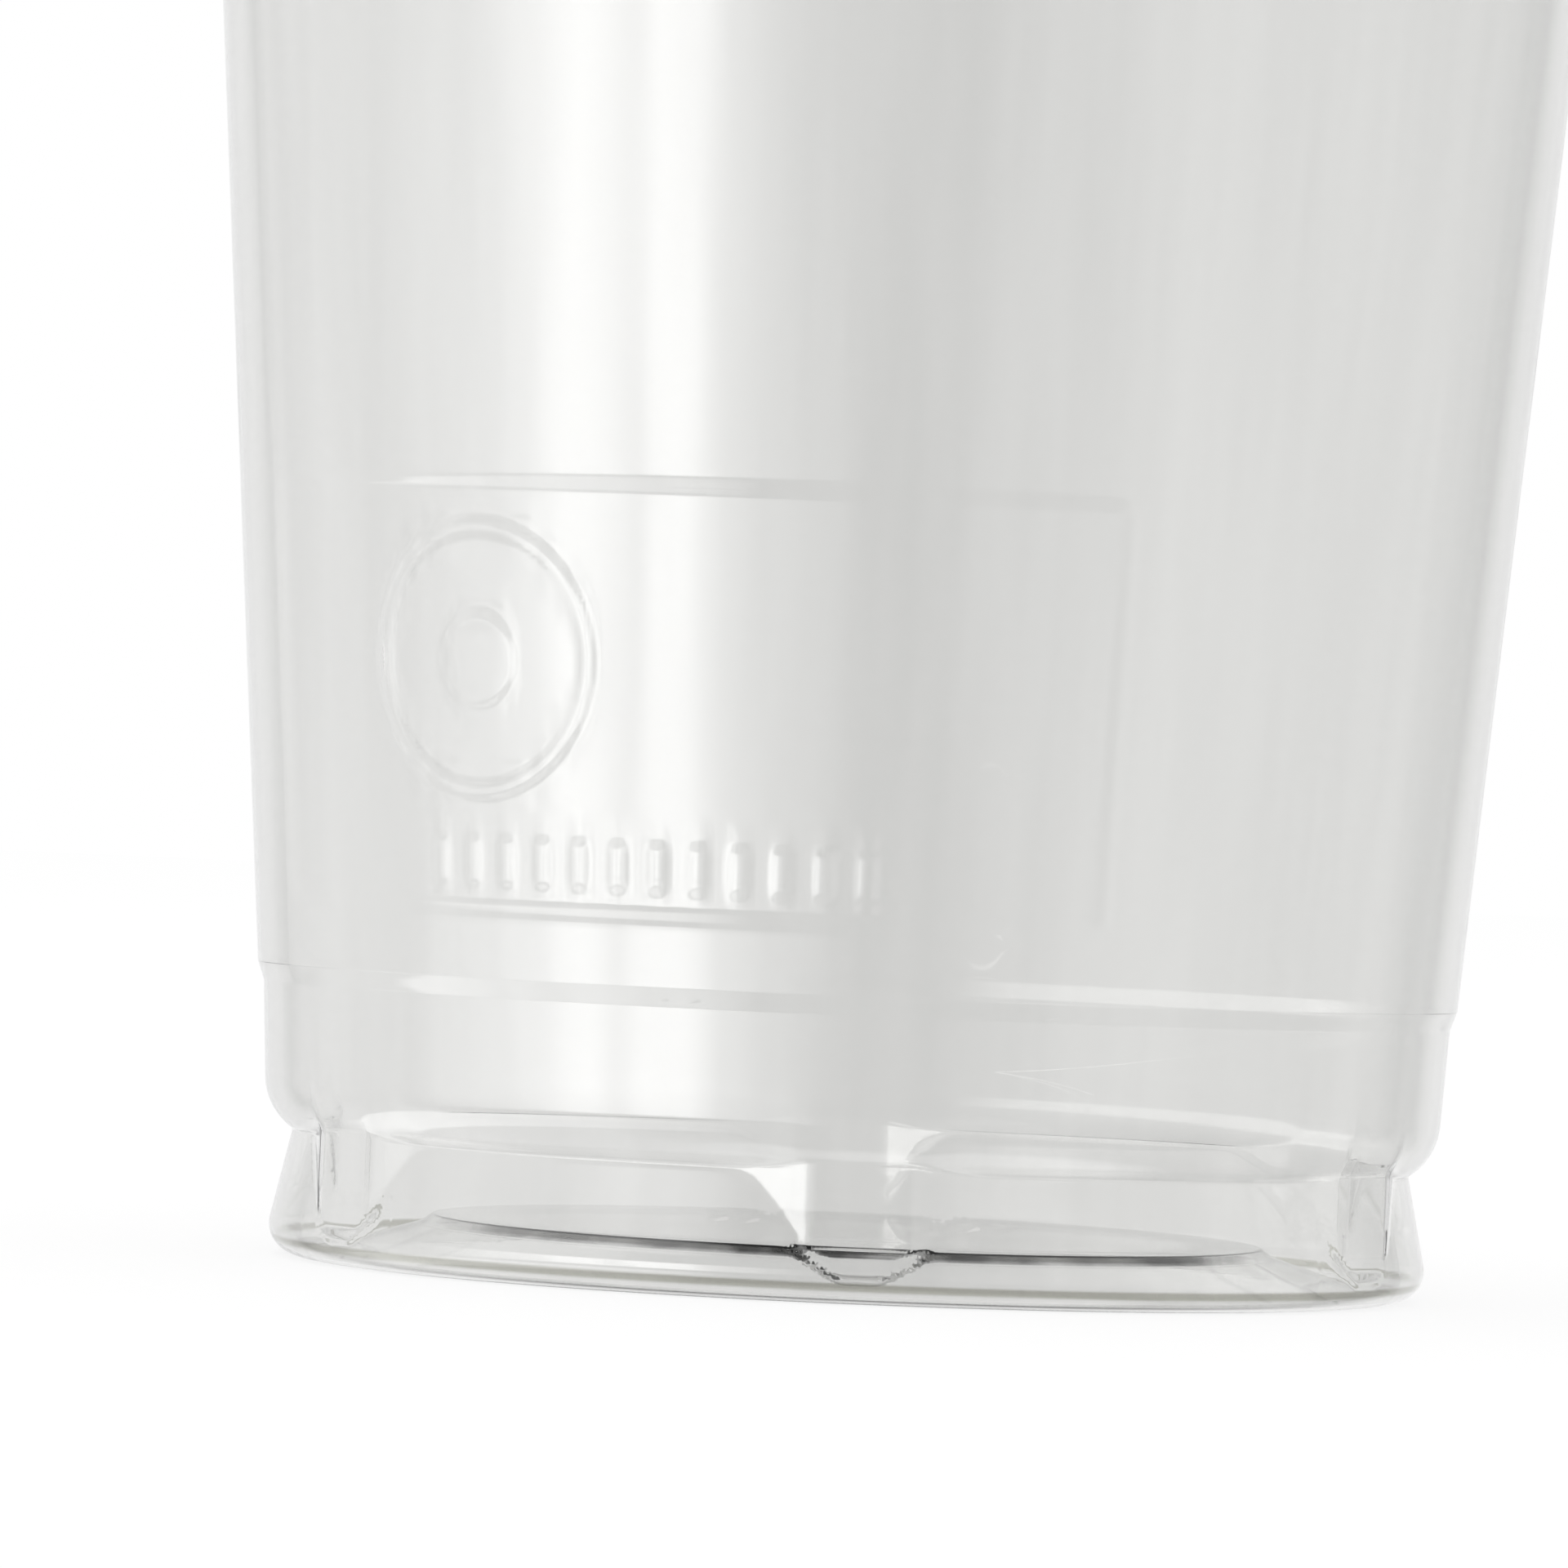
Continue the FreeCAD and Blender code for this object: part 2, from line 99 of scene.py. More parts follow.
# Slow upright waves left in the wall by drawing: how many go round, and how high they are
WAVES = ((11, 0.02), (19, 0.012), (29, 0.009), (43, 0.005))
WAVE_SHIFT = 1.7  # radians for each wave round, so that the waves don't all start together
WAVE_START = (14, 30)  # heights between which they begin

# Rows of the mesh along the outline
RUN_SPACINGS = [4.0, 0.3, 1.5, 0.5, 0.24, 0.2, 1.0, 0.3, 0.26]  # one for each straight run
ARC_SPACING, ARC_TURN, ARC_STEPS = 0.22, 0.2, 3  # longest step, most radians a step, and fewest steps
LEAST_ARC = 0.05  # radius of an arc that the wall's thickness would use up
THIN_SIDE = STEP_HIGH[0] * 0.97  # radius past which rows are thinned
THIN_FROM, THIN_SPACING = 38.6, 5.0  # in the plain wall above the panel
BORDER_ROWS, BORDER_SPACING = (STEP_HIGH[1] + 0.3, RECESS_LOW - 0.1), 1.0  # between the step and the panel
INSIDE_ROWS, INSIDE_SPACING = (RECESS_LOW + 1.0, RECESS_HIGH - 1.0), 0.8  # on the inside of the panel
CURL_ROWS = 20

# Steps of the mesh round the cup, in degrees
COARSE_TURN, PLAIN_TURN = 3.0, 2.0
FOOT_TURN, FOOT_REACH = 0.75, 13.0  # at the lugs, and how far to both sides of them
NOTCH_TURN, NOTCH_REACH, NOTCH_TOP = 0.4, 8.5, 3.7  # at the notches, how far, and up to what height
WALL_TURN, WALL_LEFT, WALL_RIGHT = 0.42, 6.0, 3.0  # at the panel, and how far past both its ends
WALL_SIDE, WALL_LOW, WALL_HIGH = STEP_LOW[0] * 0.9, 13.6, 38.8  # where a loop belongs to the lower wall

# Painted shade on the sheet, in metres: a lobe's centre, half width, soft edge and strength, for the dark
# line in the bottom's step and the grey line low in the foot's roll
BEAD_PAINTED_SHADE_AWAY = (0.0207, 0.00045, 0.0002, 1.0)
BEAD_PAINTED_SHADE_HEIGHT = (0.002, 0.00015, 0.00011, 1.0)
BEAD_PAINTED_SHADE_ACROSS = (0.0, 0.0155, 0.006, 1.0)
ROLL_PAINTED_SHADE_AWAY = (0.0285, 0.0012, 0.0003, 1.0)
ROLL_PAINTED_SHADE_HEIGHT = (0.00085, 0.0001, 0.00016, 1.0)
STREAK_SCALE = (260.0, 260.0, 10.0)  # a metre holds so many: they are about 4 mm wide and 100 mm tall

# Studio that gloss mirrors: lobes of the azimuth, in degrees, and of a direction's upward part
LEFT_SIDE = (-95.0, 29.0, 50.0, 1.15)
RIGHT_SIDE = (91.0, 63.0, 25.0, 0.55)
SOFT_PANELS = ((-56.0, 2.0, 8.0, 0.7), (-37.5, 3.5, 7.5, 1.4), (-47.0, 3.0, 50.0, 2.1))
SOFT_PANELS_LEVEL = (-0.14, 0.14, 0.08, 1.0)
LEFT_PATCHES = (-80.0, 40.0, 20.0, 1.0)
LEFT_PATCH_LOW, LEFT_PATCH_HIGH = (-0.54, 0.1, 0.03, 1.0), (0.48, 0.1, 0.08, 1.6)
DIM_ROOM = 0.15
MIRRORED_BOUNCES = 1.5  # the world counts one bounce more than the light made

# Soft ranges of a direction's part in that studio: both ends, and the strengths at them
RIGHT_FADE = (-0.45, -0.3, 0.5, 1.0)
WHITE_BELOW = (-0.9, -0.78, 1.0, 0.0)
BACKDROP = (0.6, 0.9, 0.0, 1.0)
OVERHEAD_FADE = (0.55, 0.85, 1.0, 0.4)

# Floor and lamp, in millimetres and watts
FLOOR_HALF, FLOOR_DROP, FLOOR_GLOW = 3000.0, 0.02, 0.85
LAMP_PLACE, LAMP_SIDE, LAMP_POWER = (-300, -200, 1500), 900, 5.0

# Photograph's camera, in millimetres and degrees
CAMERA_PLACE = (-10.0, -441.9, 22.0)
CAMERA_AIM = (-4.05, 0.0, 24.1)
CAMERA_ROLL = 2.49
CAMERA_LENS, CAMERA_SENSOR = 205.5, 36.0
CAMERA_NEAR = 0.01  # in metres


def linear(hex_colour):
    """A linear colour from an sRGB hex value."""
    parts = [int(hex_colour[k:k + 2], 16) / 255 for k in (1, 3, 5)]
    return tuple(c / 12.92 if c <= 0.04045 else ((c + 0.055) / 1.055) ** 2.4 for c in parts) + (1.0,)


def smooth_step(low, high, value):
    """0 below low, 1 above high and 3t^2 - 2t^3 between them."""
    t = np.clip((value - low) / (high - low), 0.0, 1.0)
    return t * t * (3 - 2 * t)


def soft_max(a, b, soft):
    """The larger of two values, with a fillet where they cross: soft / 4 times (1 - gap / soft)^2 is added
    while the gap between them is less than soft."""
    near = np.clip(1 - np.abs(a - b) / soft, 0, 1)
    return np.maximum(a, b) + 0.25 * soft * near ** 2


def moved_corners(corners, shift):
    """Corners of an open outline when each side moves to its left by shift: where the moved sides cross."""
    sides = np.diff(corners, axis=0)
    sides /= np.linalg.norm(sides, axis=1)[:, None]
    normals = np.column_stack([-sides[:, 1], sides[:, 0]])
    first, last = normals[:1], normals[-1:]
    before, after = np.vstack([first, normals]), np.vstack([normals, last])
    mitre = (before + after) / (1 + np.sum(before * after, axis=1))[:, None]
    return corners + mitre * shift


def rounded_outline(corners, rounds, spacings, shift):
    """Points along an outline whose corners are arcs: straight runs in even steps, and arcs of the given
    radius, less the shift on a left turn and more by it on a right one. Returns (radius, height) rows."""
    corners = moved_corners(np.array(corners, dtype=float), shift)
    ends = [corners[0]]
    arcs = []
    for k in range(1, len(corners) - 1):
        before = corners[k] - corners[k - 1]
        after = corners[k + 1] - corners[k]
        before /= np.linalg.norm(before)
        after /= np.linalg.norm(after)
        turn = math.atan2(before[0] * after[1] - before[1] * after[0], before @ after)
        radius = max(rounds[k - 1] - math.copysign(shift, turn), LEAST_ARC)
        reach = radius * math.tan(abs(turn) / 2)
        left = np.array([-before[1], before[0]])
        centre = corners[k] - before * reach + math.copysign(radius, turn) * left
        start = math.atan2(before[1], before[0]) - math.copysign(math.pi / 2, turn)
        steps = max(ARC_STEPS, math.ceil(abs(turn) * radius / ARC_SPACING), math.ceil(abs(turn) / ARC_TURN))
        angles = start + np.linspace(0, turn, steps + 1)
        arcs.append(centre + radius * np.column_stack([np.cos(angles), np.sin(angles)]))
        ends += [arcs[-1][0], arcs[-1][-1]]
    ends.append(corners[-1])
    rows = []
    for k in range(len(corners) - 1):
        start, end = ends[2 * k], ends[2 * k + 1]
        steps = max(1, int(round(np.linalg.norm(end - start) / spacings[k])))
        line = start + (end - start) * np.linspace(0, 1, steps + 1)[:, None]
        rows.append(line[:-1] if k < len(corners) - 2 else line)
        if k < len(arcs):
            rows.append(arcs[k][:-1])
    return np.vstack(rows)


def angle_set(coarse, fine_spans, fine):
    """Sorted azimuths, in degrees, in even coarse steps all round and fine ones inside the given spans. Where
    the two meet, a step less than 0.3 of a fine one is dropped."""
    angles = list(np.arange(-180.0, 180.0, coarse))
    for low, high in fine_spans:
        angles = [a for a in angles if not low - fine * 0.5 < a < high + fine * 0.5]
        angles += list(np.arange(low, high + fine * 0.5, fine))
    angles = np.sort(np.mod(np.array(angles) + 180.0, 360.0) - 180.0)
    keep = np.append(np.diff(angles) > fine * 0.3, True)
    return angles[keep]


def lug_spans(reach):
    """Spans of azimuth that reach so far to both sides of each lug, the rearmost in two halves."""
    middles = [k * 360.0 / LUG_COUNT - 180.0 for k in range(1, LUG_COUNT)]
    spans = [(middle - reach, middle + reach) for middle in middles]
    return spans + [(180.0 - reach, 180.0), (-180.0, reach - 180.0)]


def lug_turn(turn):
    """The angle in radians from each azimuth to the nearest lug's middle."""
    step = 360.0 / LUG_COUNT
    return np.radians(np.abs(np.mod(turn + step / 2, step) - step / 2))


def lug_radius(turn, inset):
    """Radius of the lugs' flat faces alone, and with their flanks, at each azimuth: a plane's distance from
    the axis over the cosine of the angle to it, for the face and for the two flanks, whichever is less."""
    off = lug_turn(turn)
    face = (LUG_FACE - inset) / np.cos(off)
    slant = math.tan(LUG_FLANK)
    reach = LUG_FACE + LUG_WIDTH / 2 * slant - inset / math.cos(LUG_FLANK)
    flank = reach / (np.cos(off) + slant * np.sin(off))
    return face, -soft_max(-face, -flank, FACE_SOFT)


def notch_share(turn, radius, height, inset):
    """1 inside the notches under the lugs and 0 outside, with soft borders: a trapezoid seen from the front,
    which ends where it meets the lug's face. The notches round the sides count for less."""
    across = radius * np.sin(lug_turn(turn))
    rise = (height - NOTCH_LOW) / (NOTCH_HIGH - NOTCH_LOW)
    half = 0.5 * (NOTCH_LOW_WIDTH + (NOTCH_HIGH_WIDTH - NOTCH_LOW_WIDTH) * rise) + inset
    share = smooth_step(-NOTCH_SOFT, NOTCH_SOFT, half - across)
    share = share * smooth_step(-NOTCH_LOW_SOFT, NOTCH_LOW_SOFT, height - NOTCH_LOW + inset)
    share = share * (1 - smooth_step(*NOTCH_FADE, height))
    return share * (1 - NOTCH_SIDE_LOSS * smooth_step(*NOTCH_SIDE_TURN, np.abs(turn)))


def mark_share(turn, height):
    """1 on the raised marks and 0 off them, with sloping sides: a ring and a disc in it by their distance
    from the middle, and a row of bars by their distance from each bar's middle line."""
    low, high = -MARK_BLEND / 2, MARK_BLEND / 2
    distance = np.hypot(np.radians(turn - RING_TURN) * RING_WALL, height - RING_HEIGHT)
    ring = smooth_step(low, high, distance - RING_RADIUS + RING_WIDTH)
    ring = ring * smooth_step(low, high, RING_RADIUS - distance)
    dot = smooth_step(low, high, DOT_RADIUS - distance)
    pitch = BAR_SPAN / (BAR_COUNT - 1)
    nearest = np.clip(np.round((turn - BAR_TURN) / pitch), 0, BAR_COUNT - 1) * pitch + BAR_TURN
    off = np.abs(np.radians(turn - nearest)) * STEP_HIGH[0]
    bar = smooth_step(low, high, BAR_WIDTH / 2 - off)
    bar = bar * smooth_step(low, high, height - BAR_LOW) * smooth_step(low, high, BAR_HIGH - height)
    return np.maximum(np.maximum(ring, dot), bar)


def recess_share(turn, height):
    """1 in the wall's panel and 0 outside it, with sloping borders: the product of a soft step at each edge,
    by the distance from it."""
    low = smooth_step(-BEVEL_SOFT, RECESS_BEVEL + BEVEL_SOFT, height - RECESS_LOW)
    high = smooth_step(-BEVEL_SOFT, RECESS_BEVEL + BEVEL_SOFT, RECESS_HIGH - height)
    left = np.radians(turn - RECESS_TURN + RECESS_SPAN / 2) * STEP_HIGH[0]
    right = np.radians(RECESS_TURN + RECESS_SPAN / 2 - turn) * STEP_HIGH[0]
    sides = smooth_step(-RECESS_LEFT / 2, RECESS_LEFT / 2, left)
    sides = sides * smooth_step(-RECESS_RIGHT / 2, RECESS_RIGHT / 2, right)
    return low * high * sides


def formed_radius(turn, radius, height, inset):
    """The wall's radius with its formed details: lugs fill the neck, notches flatten the roll, the panel goes
    in, its marks stand out, and a few sines of the azimuth make the wall wave. The inside has the same
    details, one wall further in."""
    result = radius
    if FORMED_LOW - inset < height < FORMED_HIGH and radius > STAND_RADIUS:
        face, lug = lug_radius(turn, inset)
        soft = LUG_SOFT + (LUG_TOP_SOFT - LUG_SOFT) * smooth_step(*LUG_TOP, height)
        with_lug = soft_max(radius, lug, soft)
        notched = -soft_max(-with_lug, NOTCH_DEPTH - face, NOTCH_EDGE_SOFT)
        share = notch_share(turn, radius, height, inset)
        result = with_lug + (notched - with_lug) * share
        if height < LUG_START[1]:
            result = radius + (result - radius) * np.maximum(share, smooth_step(*LUG_START, height))
    panel = recess_share(turn, height)
    marks = mark_share(turn, height)
    waves = sum(size * np.sin(np.radians(turn) * count + count * WAVE_SHIFT) for count, size in WAVES)
    waves = waves * smooth_step(*WAVE_START, height) * (radius > STEP_LOW[0])
    return result - RECESS_DEPTH * panel + MARK_RISE * marks * panel + waves


def ring_points(angles, row, inset):
    """One loop of points round the axis: x = r sin(turn), y = -r cos(turn), with the formed radius."""
    radius = formed_radius(angles, row[0], row[1], inset)
    turn = np.radians(angles)
    return np.column_stack([radius * np.sin(turn), -radius * np.cos(turn), np.full_like(turn, row[1])])


def strip(first, last):
    """Faces between two loops of the same count: a quad for each step round."""
    return np.column_stack([first, np.roll(first, -1), np.roll(last, -1), last])


def zip_loops(low, low_angles, high, high_angles):
    """Triangles between two loops of different counts: both sets of azimuths are merged in order, and each
    step along one loop makes a triangle with the point that the other loop has reached."""
    angles = np.concatenate([low_angles, high_angles])
    from_low = np.concatenate([np.ones(len(low), bool), np.zeros(len(high), bool)])
    order = np.argsort(angles, kind="stable")
    from_low = from_low[order]
    at_low = np.cumsum(from_low) - 1
    at_high = np.cumsum(~from_low) - 1
    tri_low = np.column_stack([
        low[(at_low - 1) % len(low)], low[at_low % len(low)], high[at_high % len(high)]
    ])[from_low]
    tri_high = np.column_stack([
        low[at_low % len(low)], high[at_high % len(high)], high[(at_high - 1) % len(high)]
    ])[~from_low]
    return np.vstack([tri_low, tri_high])


def add_mesh(name, points, quads, triangles):
    """A smooth-shaded mesh object at the origin from numpy arrays, put in with foreach_set."""
    mesh = bpy.data.meshes.new(name)
    mesh.vertices.add(len(points))
    mesh.vertices.foreach_set("co", (points * MM).astype(np.float32).ravel())
    loops = np.concatenate([quads.ravel(), triangles.ravel()]).astype(np.int32)
    sizes = np.concatenate([np.full(len(quads), 4), np.full(len(triangles), 3)])
    starts = np.concatenate([[0], np.cumsum(sizes)[:-1]]).astype(np.int32)
    mesh.loops.add(len(loops))
    mesh.loops.foreach_set("vertex_index", loops)
    mesh.polygons.add(len(sizes))
    mesh.polygons.foreach_set("loop_start", starts)
    mesh.update(calc_edges=True)
    mesh.validate()
    mesh.shade_smooth()
    piece = bpy.data.objects.new(name, mesh)
    bpy.context.scene.collection.objects.link(piece)
    return piece


def thin_rows(rows, low, high, spacing):
    """Drops rows of the wall between two heights until they are at least spacing apart."""
    keep = []
    last = -math.inf
    for row in rows:
        if row[0] > THIN_SIDE and low < row[1] < high:
            if row[1] - last < spacing:
                continue
            last = row[1]
        keep.append(row)
    return np.array(keep)


def cup_outline(mouth_height, shift):
    """The turned outline of one side of the sheet, from the middle of the bottom to the start of the rim.
    Where the wall is plain it has fewer rows."""
    corners = [
        (0.0, PANEL_LIFT), (PANEL_RADIUS, PANEL_LIFT),
        (PANEL_RADIUS + BEAD_WIDTH, PANEL_LIFT - BEAD_DEPTH), (STAND_RADIUS, 0.0), (FOOT_CORNER, 0.0),
        (NECK_RADIUS, NECK_HEIGHT), (SHOULDER_RADIUS, SHOULDER_HEIGHT), STEP_LOW, STEP_HIGH,
        (MOUTH_RADIUS, mouth_height),
    ]
    rounds = [
        BEAD_ROUND, BEAD_ROUND, HEEL_ROUND, FOOT_ROUND, NECK_ROUND, SHOULDER_ROUND, STEP_ROUND, STEP_ROUND,
    ]
    rows = rounded_outline(corners, rounds, RUN_SPACINGS, shift)
    rows = thin_rows(rows, THIN_FROM, HEIGHT, THIN_SPACING)
    return thin_rows(rows, *BORDER_ROWS, BORDER_SPACING)


def cup_path():
    """The whole sheet's outline as rows with their insets, from one side of the bottom's middle to the other:
    out along the underside, up the outside, round the inside and back round the outside of the rim's curl,
    and down the inside. The curl is an arc of CURL_SWEEP degrees about a point outside the mouth."""
    mouth_wall = WALL * math.hypot(1, (MOUTH_RADIUS - STEP_HIGH[0]) / (HEIGHT - STEP_HIGH[1]))
    mouth_height = HEIGHT - CURL_HOLLOW - mouth_wall
    outer = cup_outline(mouth_height, 0.0)
    inner = thin_rows(cup_outline(mouth_height, WALL), *INSIDE_ROWS, INSIDE_SPACING)
    centre = np.array([MOUTH_RADIUS + CURL_HOLLOW, mouth_height])
    sweep = np.radians(180.0 - np.linspace(0, CURL_SWEEP, CURL_ROWS))
    curl = np.column_stack([np.cos(sweep), np.sin(sweep)])
    out_arc = centre + (CURL_HOLLOW + mouth_wall) * curl
    in_arc = centre + CURL_HOLLOW * curl
    path = [(row, 0.0) for row in (*outer[:-1], *in_arc, *out_arc[::-1])]
    return path + [(row, WALL) for row in inner[:-1][::-1]]


def make_cup():
    """The whole cup as one closed sheet, in loops round the axis along its outline, with a point at each end.
    Loops have smaller steps where the formed details are."""
    foot_angles = angle_set(COARSE_TURN, lug_spans(FOOT_REACH), FOOT_TURN)
    notch_angles = angle_set(COARSE_TURN, lug_spans(NOTCH_REACH), NOTCH_TURN)
    panel = (RECESS_TURN - RECESS_SPAN / 2 - WALL_LEFT, RECESS_TURN + RECESS_SPAN / 2 + WALL_RIGHT)
    wall_angles = angle_set(COARSE_TURN, [panel], WALL_TURN)
    plain_angles = angle_set(PLAIN_TURN, [], PLAIN_TURN)

    (start, _), *path, (end, _) = cup_path()
    points, loops = [np.array([[0.0, 0.0, start[1]]])], []
    total = 1
    for row, inset in path:
        if row[0] > WALL_SIDE and row[1] > WALL_LOW:
            angles = wall_angles if row[1] < WALL_HIGH else plain_angles
        elif row[0] < STAND_RADIUS:
            angles = plain_angles
        else:
            angles = notch_angles if row[1] < NOTCH_TOP else foot_angles
        points.append(ring_points(angles, row, inset))
        loops.append((np.arange(total, total + len(angles)), angles))
        total += len(angles)
    points.append(np.array([[0.0, 0.0, end[1]]]))

    quads, triangles = [], []
    first, last = loops[0][0], loops[-1][0]
    triangles.append(np.column_stack([np.zeros(len(first), int), np.roll(first, -1), first]))
    for (low, low_angles), (high, high_angles) in zip(loops, loops[1:]):
        if low_angles is high_angles:
            quads.append(strip(low, high))
        else:
            triangles.append(zip_loops(low, low_angles, high, high_angles))
    triangles.append(np.column_stack([last, np.roll(last, -1), np.full(len(last), total)]))
    return add_mesh("cup_sheet", np.vstack(points), np.vstack(quads), np.vstack(triangles))


def add_node(tree, kind, settings=None, inputs=None):
    """Adds one shader node with its settings. An input is a plain value, or another node's output to link."""
    node = tree.nodes.new(kind)
    for name, value in (settings or {}).items():
        setattr(node, name, value)
    for name, value in (inputs or {}).items():
        if isinstance(value, bpy.types.NodeSocket):
            tree.links.new(value, node.inputs[name])
        else:
            node.inputs[name].default_value = value
    return node


def joined(tree, operation, *values):
    """One value from several by a math operation, taken in turn."""
    result = values[0]
    for value in values[1:]:
        result = add_node(tree, "ShaderNodeMath", {"operation": operation}, {0: result, 1: value}).outputs[0]
    return result


def lobe(tree, value, centre, half, soft, height):
    """A smooth bump of a value: the given height within half of the centre, falling to 0 over soft more."""
    off = joined(tree, "SUBTRACT", value, centre)
    off = add_node(tree, "ShaderNodeMath", {"operation": "ABSOLUTE"}, {0: off}).outputs[0]
    return add_node(tree, "ShaderNodeMapRange", {"interpolation_type": "SMOOTHSTEP"}, {
        "Value": off, "From Min": half, "From Max": half + soft, "To Min": height, "To Max": 0.0,
    }).outputs[0]


def new_material(name):
    """An empty node material, its tree and the socket for its surface."""
    material = bpy.data.materials.new(name)
    material.use_nodes = True
    tree = material.node_tree
    tree.nodes.clear()
    return material, tree, add_node(tree, "ShaderNodeOutputMaterial").inputs["Surface"]


def clear_pet():
    """Clear PET sheet, thermoformed: glassy and very slightly grey, with faint upright streaks where the hot
    sheet was drawn, and with painted shade: a dark line in the step round the bottom and a grey one low in
    the foot's roll."""
    material, tree, surface = new_material("clear_pet_thermoformed")
    place = add_node(tree, "ShaderNodeTexCoord").outputs["Object"]
    x, _, z = add_node(tree, "ShaderNodeSeparateXYZ", inputs={0: place}).outputs
    flat = add_node(tree, "ShaderNodeVectorMath", {"operation": "MULTIPLY"}, {0: place, 1: (1, 1, 0)})
    length = add_node(tree, "ShaderNodeVectorMath", {"operation": "LENGTH"}, {0: flat.outputs[0]})
    away = length.outputs["Value"]

    # Noise drawn out upwards, which gives the eye the faint streaks of a drawn sheet
    drawn_out = add_node(tree, "ShaderNodeMapping", inputs={"Vector": place, "Scale": STREAK_SCALE})
    noise = add_node(tree, "ShaderNodeTexNoise", inputs={
        "Vector": drawn_out.outputs["Vector"], "Scale": 1.0, "Detail": 3.0, "Roughness": 0.55,
    }).outputs["Fac"]
    streaks = add_node(tree, "ShaderNodeMapRange", inputs={
        "Value": noise, "From Min": 0.35, "From Max": 0.65, "To Min": 0.0, "To Max": 1.0,
    }).outputs[0]

    # Painted shade: a dark line in the step round the bottom, uneven and weaker at the sides, standing in for
    # the light that the bent sheet throws away
    uneven = add_node(tree, "ShaderNodeMapRange", inputs={
        "Value": noise, "From Min": 0.35, "From Max": 0.6, "To Min": 0.55, "To Max": 1.0,
    }).outputs[0]
    bead_painted_shade = joined(tree, "MULTIPLY", lobe(tree, away, *BEAD_PAINTED_SHADE_AWAY), lobe(tree, z, *BEAD_PAINTED_SHADE_HEIGHT),
                  lobe(tree, x, *BEAD_PAINTED_SHADE_ACROSS), uneven)

    # Painted shade: a grey line low in the foot's roll, standing in for the sheet seen through twice, nearly
    # edge on
    roll = joined(tree, "MULTIPLY", lobe(tree, away, *ROLL_PAINTED_SHADE_AWAY), lobe(tree, z, *ROLL_PAINTED_SHADE_HEIGHT))

    colour = linear("#F0F0EF")
    # The streaks are the sheet's own tone; the bead's dark line and the roll's grey line are painted shade
    for share, tint_and_painted_shade in ((streaks, "#ECECEB"), (bead_painted_shade, "#505050"), (roll, "#B8B8B0")):
        inputs = {0: share, 6: colour, 7: linear(tint_and_painted_shade)}
        colour = add_node(tree, "ShaderNodeMix", {"data_type": "RGBA"}, inputs).outputs[2]
    plastic = add_node(tree, "ShaderNodeBsdfPrincipled", inputs={
        "Base Color": colour, "Roughness": 0.0, "IOR": 1.57, "Transmission Weight": 1.0,
    }).outputs[0]

    # Thin plastic lets most light through, so its shadow is faint
    shade = add_node(tree, "ShaderNodeBsdfTransparent", inputs={"Color": linear("#E2E2E2")}).outputs[0]
    shadow_ray = add_node(tree, "ShaderNodeLightPath").outputs["Is Shadow Ray"]
    mix = add_node(tree, "ShaderNodeMixShader", inputs={0: shadow_ray, 1: plastic, 2: shade})
    tree.links.new(mix.outputs[0], surface)
    return material


def studio_floor():
    """Matt white board: mostly its own even white to the camera, and part lit, which keeps the shadow."""
    material, tree, surface = new_material("white_board")
    camera_ray = add_node(tree, "ShaderNodeLightPath").outputs["Is Camera Ray"]
    share = joined(tree, "MULTIPLY", camera_ray, FLOOR_GLOW)
    board = add_node(tree, "ShaderNodeBsdfDiffuse", inputs={"Color": linear("#FAFAFA")})
    glow = add_node(tree, "ShaderNodeEmission", inputs={"Color": linear("#FFFFFF"), "Strength": 1.0})
    mix = add_node(tree, "ShaderNodeMixShader", inputs={0: share, 1: board.outputs[0], 2: glow.outputs[0]})
    tree.links.new(mix.outputs[0], surface)
    return material


def make_floor():
    """A flat square floor just under the cup."""
    across = FLOOR_HALF * np.array([[-1, -1], [1, -1], [1, 1], [-1, 1]])
    corners = np.column_stack([across, np.full(4, -FLOOR_DROP)])
    floor = add_mesh("floor", corners, np.array([[0, 1, 2, 3]]), np.zeros((0, 3), int))
    floor.data.materials.append(studio_floor())
    floor.visible_glossy = False
    floor.visible_transmission = False


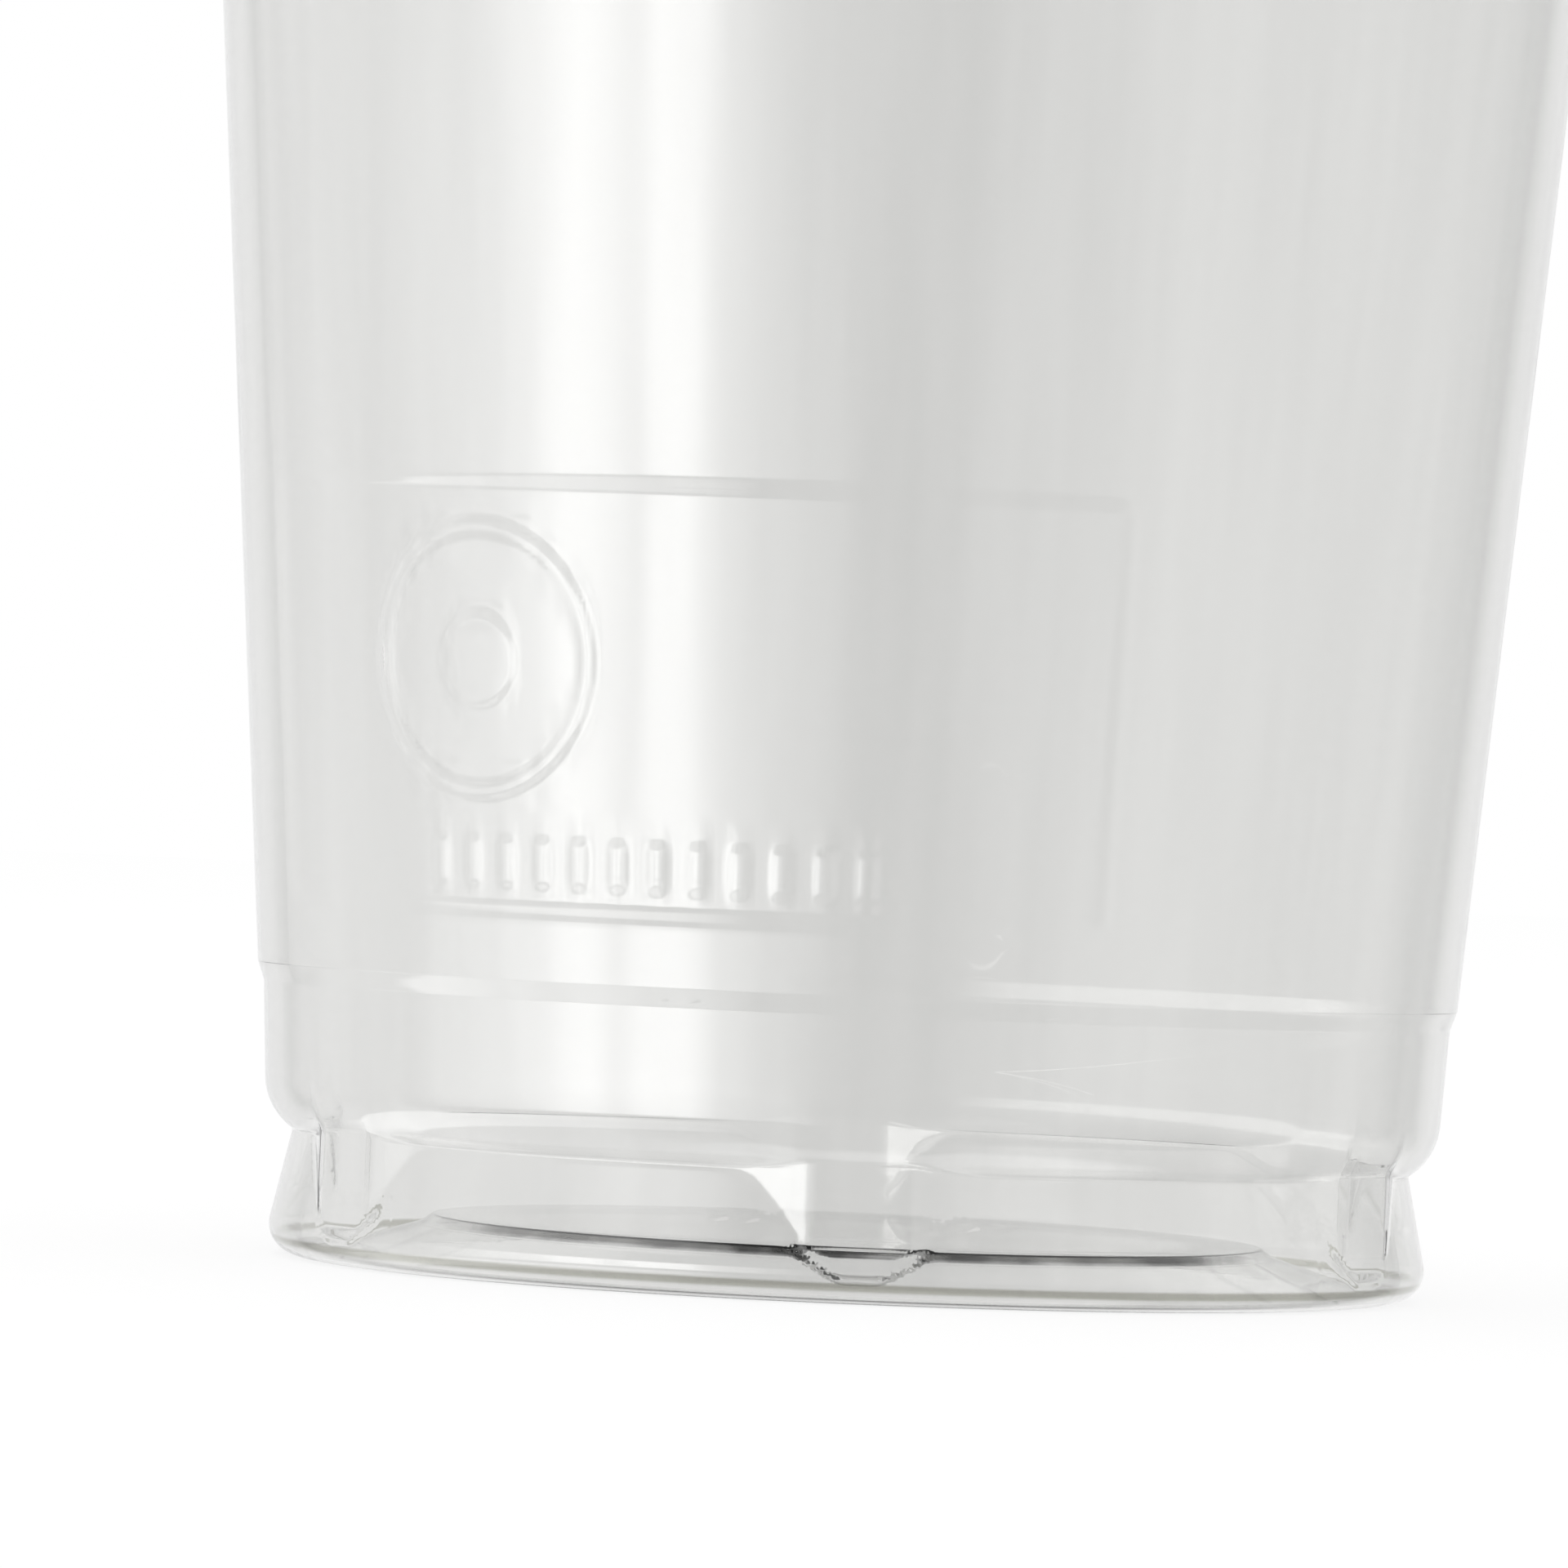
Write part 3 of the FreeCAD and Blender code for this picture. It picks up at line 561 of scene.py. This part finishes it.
def make_world():
    """A plain white studio. Its light is one plain soft level, and it is white straight through the cup.
    Gloss mirrors white behind the cup and below it, and in front of it a bright left side with tall soft
    panels low down, a dim middle and a grey right side. Straight up it is darker."""
    world = bpy.data.worlds.new("studio")
    bpy.context.scene.world = world
    world.use_nodes = True
    tree = world.node_tree
    tree.nodes.clear()
    output = add_node(tree, "ShaderNodeOutputWorld")
    direction = add_node(tree, "ShaderNodeTexCoord").outputs["Generated"]
    x, y, z = add_node(tree, "ShaderNodeSeparateXYZ", inputs={0: direction}).outputs
    turn = joined(tree, "ARCTAN2", x, joined(tree, "MULTIPLY", y, -1.0))
    turn = add_node(tree, "ShaderNodeMath", {"operation": "DEGREES"}, {0: turn}).outputs[0]
    right_fade, below, backdrop, overhead = [
        add_node(tree, "ShaderNodeMapRange", {"interpolation_type": "SMOOTHSTEP"}, {
            "Value": part, "From Min": start, "From Max": end, "To Min": first, "To Max": last,
        }).outputs[0]
        for part, (start, end, first, last) in (
            (z, RIGHT_FADE), (z, WHITE_BELOW), (y, BACKDROP), (z, OVERHEAD_FADE)
        )
    ]

    right = joined(tree, "MULTIPLY", right_fade, lobe(tree, turn, *RIGHT_SIDE))
    panels = joined(tree, "ADD", *[lobe(tree, turn, *panel) for panel in SOFT_PANELS])
    panels = joined(tree, "MULTIPLY", lobe(tree, z, *SOFT_PANELS_LEVEL), panels)
    left = lobe(tree, turn, *LEFT_PATCHES)
    low, high = [
        joined(tree, "MULTIPLY", left, lobe(tree, z, *level)) for level in (LEFT_PATCH_LOW, LEFT_PATCH_HIGH)
    ]
    room = joined(tree, "ADD", lobe(tree, turn, *LEFT_SIDE), right, panels, low, high)
    around = joined(tree, "MAXIMUM", room, below, DIM_ROOM, backdrop)
    around = joined(tree, "MULTIPLY", around, overhead)

    rays = add_node(tree, "ShaderNodeLightPath").outputs
    bounces = joined(tree, "SUBTRACT", rays["Ray Depth"], rays["Transmission Depth"])
    mirrored = joined(tree, "GREATER_THAN", bounces, MIRRORED_BOUNCES)
    strength = add_node(tree, "ShaderNodeMix", inputs={0: mirrored, 2: 1.0, 3: around}).outputs[0]
    white = linear("#FFFFFF")
    plain, shown, seen = [
        add_node(tree, "ShaderNodeBackground", inputs={"Color": white, "Strength": level}).outputs[0]
        for level in (1.0, strength, 1.0)
    ]
    in_cup = joined(tree, "MAXIMUM", rays["Is Glossy Ray"], rays["Is Transmission Ray"])
    light = add_node(tree, "ShaderNodeMixShader", inputs={0: in_cup, 1: plain, 2: shown}).outputs[0]
    light = add_node(tree, "ShaderNodeMixShader", inputs={0: rays["Is Camera Ray"], 1: light, 2: seen})
    tree.links.new(light.outputs[0], output.inputs["Surface"])


def facing(place, aim):
    """The matrix of something at one point that looks at another. Both are in millimetres."""
    place, aim = Vector(place) * MM, Vector(aim) * MM
    return Matrix.Translation(place) @ (aim - place).to_track_quat("-Z", "Y").to_matrix().to_4x4()


def make_lamp():
    """One broad soft lamp overhead, which the cup doesn't show and which gives it its faint shadow."""
    data = bpy.data.lights.new("overhead", "AREA")
    data.shape = "RECTANGLE"
    data.size = LAMP_SIDE * MM
    data.size_y = LAMP_SIDE * MM
    data.energy = LAMP_POWER
    lamp = bpy.data.objects.new("overhead", data)
    bpy.context.scene.collection.objects.link(lamp)
    lamp.matrix_world = facing(LAMP_PLACE, (0, 0, 0))
    lamp.visible_camera = False
    lamp.visible_transmission = False
    lamp.visible_glossy = False


def make_camera():
    """The photograph's view: a long lens, nearly level, rolled a little so that the cup leans right."""
    data = bpy.data.cameras.new("camera")
    data.lens = CAMERA_LENS
    data.sensor_width = CAMERA_SENSOR
    data.clip_start = CAMERA_NEAR
    camera = bpy.data.objects.new("camera", data)
    bpy.context.scene.collection.objects.link(camera)
    roll = Matrix.Rotation(math.radians(CAMERA_ROLL), 4, "Z")
    camera.matrix_world = facing(CAMERA_PLACE, CAMERA_AIM) @ roll
    bpy.context.scene.camera = camera


make_camera()
make_world()
make_lamp()
make_floor()
cup = make_cup()
cup.data.materials.append(clear_pet())
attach(cup, "root")
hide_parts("cup")

bpy.context.scene.view_settings.view_transform = "Standard"
